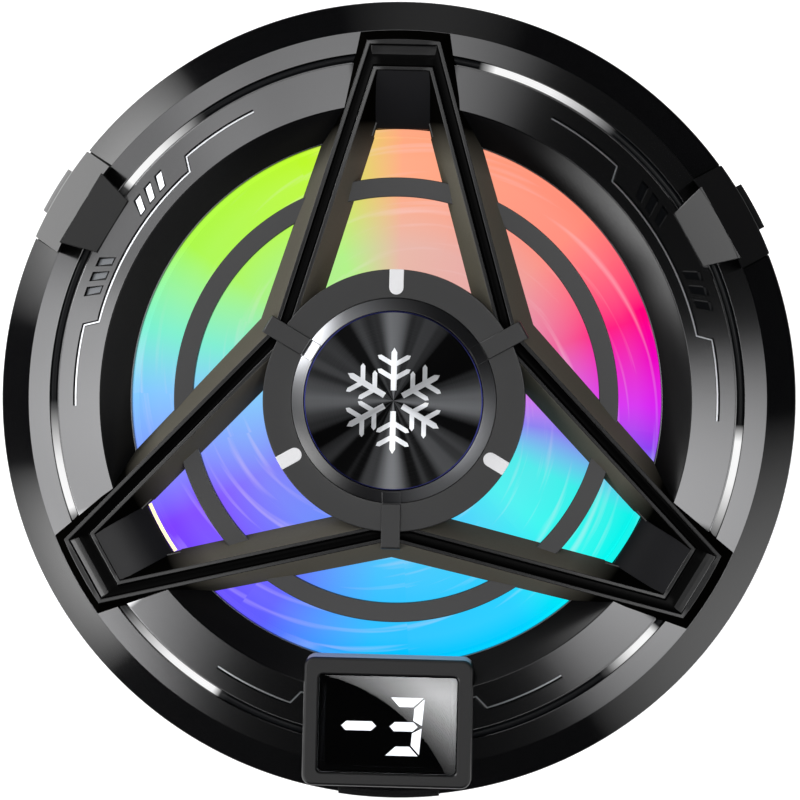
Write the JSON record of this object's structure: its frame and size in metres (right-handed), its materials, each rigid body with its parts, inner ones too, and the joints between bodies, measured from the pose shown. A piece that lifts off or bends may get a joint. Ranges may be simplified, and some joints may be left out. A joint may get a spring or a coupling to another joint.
{
  "type": "phone cooling fan",
  "caption": "Round magnetic phone cooler with a star grille over a lit fan, a finned heat sink, a thermoelectric cold plate, side keys and a small temperature display",
  "frame": {"origin": "centre of the cold plate's outer face, where the phone rests", "axes": "+Z out of the front along the fan's axis, +Y along the upper arm of the star, the display on the -Y side"},
  "size_m": [0.07, 0.0702, 0.0251],
  "materials": {
    "matte_black": "fine matte moulded plastic",
    "gloss_black": "polished black plastic",
    "satin_black": "satin black plastic",
    "satin_grey": "satin graphite paint",
    "inlay_gloss": "polished dark inlay",
    "cap_metal": "spun and black anodised",
    "tick_white": "white light pipe",
    "segment_white": "lit display segment",
    "lens": "smoked display window",
    "lit_blade": "milky plastic lit in changing colours",
    "led_white": "light emitting diode",
    "silicone": "soft matte silicone",
    "magnet": "nickel plated magnet",
    "plate_aluminium": "turned aluminium",
    "sink_aluminium": "cast aluminium",
    "thermal_pad": "thermal pad",
    "ceramic": "white ceramic",
    "pellet": "semiconductor pellet",
    "foam": "closed cell foam",
    "steel": "plated steel",
    "board_green": "circuit board",
    "copper": "enamelled copper wire",
    "bronze": "sintered bronze",
    "washer_white": "nylon washer"
  },
  "bodies": {
    "case": {"rear_cover": "matte_black", "silicone_ring": "silicone", "magnet_ring": "magnet", "cold_plate": "plate_aluminium", "cold_pad": "thermal_pad", "peltier_cold_ceramic": "ceramic", "peltier_pellets": "pellet", "peltier_hot_ceramic": "ceramic", "hot_pad": "thermal_pad", "foam_gasket": "foam", "heatsink": "sink_aluminium", "clamp_screws": "steel", "vent_ring": "matte_black", "case_screws": "steel", "fan_frame": "matte_black", "frame_screws": "steel", "motor_board": "board_green", "stator_core": "steel", "stator_coils": "copper", "bearing_sleeve": "bronze", "thrust_washer": "washer_white", "front_housing": "matte_black", "led_board": "board_green", "leds": "led_white", "front_bezel": "gloss_black", "deco_ring": "satin_grey", "light_strip": "inlay_gloss", "trim_inlays": "inlay_gloss", "intake_funnel": "gloss_black", "star_grille": "gloss_black", "arm_inserts": "satin_grey", "grille_screws": "steel", "hub_ring": "satin_grey", "hub_ticks": "tick_white", "hub_tabs": "satin_grey", "cap_bezel": "gloss_black", "hub_cap": "cap_metal", "display_housing": "satin_black", "display_lens": "lens", "display_module": "matte_black", "display_segments": "segment_white", "left_lug": "gloss_black", "right_lug": "gloss_black", "side_switches": "steel", "control_board": "board_green", "usb_shell": "steel", "usb_tongue": "matte_black"},
    "rotor": {"impeller": "lit_blade", "rotor_yoke": "steel", "rotor_magnet": "magnet", "shaft": "steel"},
    "left_key": {"left_button": "satin_black"},
    "right_key": {"right_button": "satin_black"}
  },
  "joints": [
    {"name": "fan_spin", "type": "hinge", "parent": "case", "child": "rotor", "pos_m": [0, 0, 0.016], "axis": [0, 0, 1], "continuous": true},
    {"name": "left_key_press", "type": "slide", "parent": "case", "child": "left_key", "axis": [0.866, -0.5, 0], "range_m": [0, 0.0004], "stiffness_N_per_m": 800},
    {"name": "right_key_press", "type": "slide", "parent": "case", "child": "right_key", "axis": [-0.866, -0.5, 0], "range_m": [0, 0.0004], "stiffness_N_per_m": 800}
  ]
}
